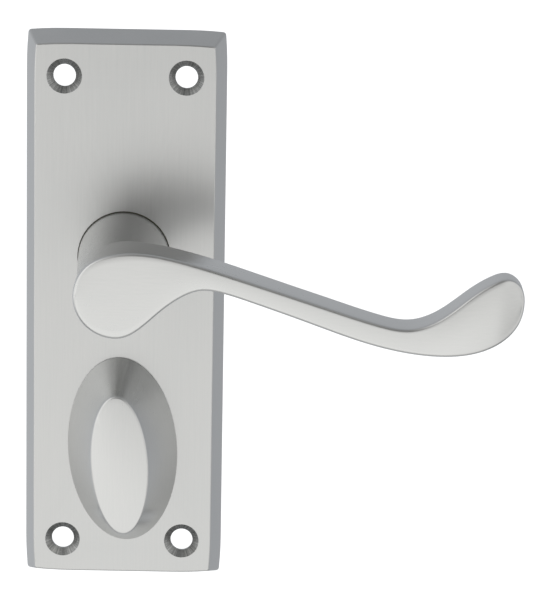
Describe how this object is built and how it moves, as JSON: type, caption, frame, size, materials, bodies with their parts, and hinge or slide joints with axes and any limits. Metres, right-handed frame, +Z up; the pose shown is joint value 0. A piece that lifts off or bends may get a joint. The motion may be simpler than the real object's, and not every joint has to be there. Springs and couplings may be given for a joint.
{
  "type": "door lever handle",
  "caption": "Sprung scroll lever handle on a bevelled backplate with a thumbturn below it, for a bathroom or privacy door.",
  "frame": {"origin": "where the lever's spindle axis meets the door face", "axes": "+Y into the door along the spindle, +Z up along the backplate, +X the way the lever points"},
  "size_m": [0.1029, 0.111, 0.118],
  "materials": {
    "satin_chrome": "satin",
    "nylon": "matte",
    "spring_steel": "satin",
    "plated_steel": "satin"
  },
  "bodies": {
    "plate": {"backplate": "satin_chrome", "lever_bush": "nylon", "stop_pin_rest": "plated_steel", "stop_pin_pressed": "plated_steel", "spring_anchor_pin": "plated_steel", "return_spring": "spring_steel", "turn_bush": "nylon"},
    "lever": {"lever": "satin_chrome", "lever_thrust_washer": "plated_steel", "spring_drive_plate": "plated_steel", "lever_spring_washer": "spring_steel", "lever_circlip": "spring_steel", "lever_spindle": "plated_steel"},
    "turn": {"turn_knob": "satin_chrome", "turn_spring_washer": "spring_steel", "turn_stop_washer": "plated_steel", "turn_circlip": "spring_steel", "turn_spindle": "plated_steel", "turn_spindle_pin": "plated_steel"}
  },
  "joints": [
    {"name": "lever_press", "type": "hinge", "parent": "plate", "child": "lever", "pos_m": [0, 0, 0], "axis": [0, 1, 0], "range_deg": [0, 60], "stiffness_Nm_per_rad": 0.6, "springref_deg": -28.65, "deforming": ["return_spring"]},
    {"name": "thumb_turn", "type": "hinge", "parent": "plate", "child": "turn", "pos_m": [0, 0, -0.0416], "axis": [0, 1, 0], "range_deg": [0, 97.6]}
  ]
}
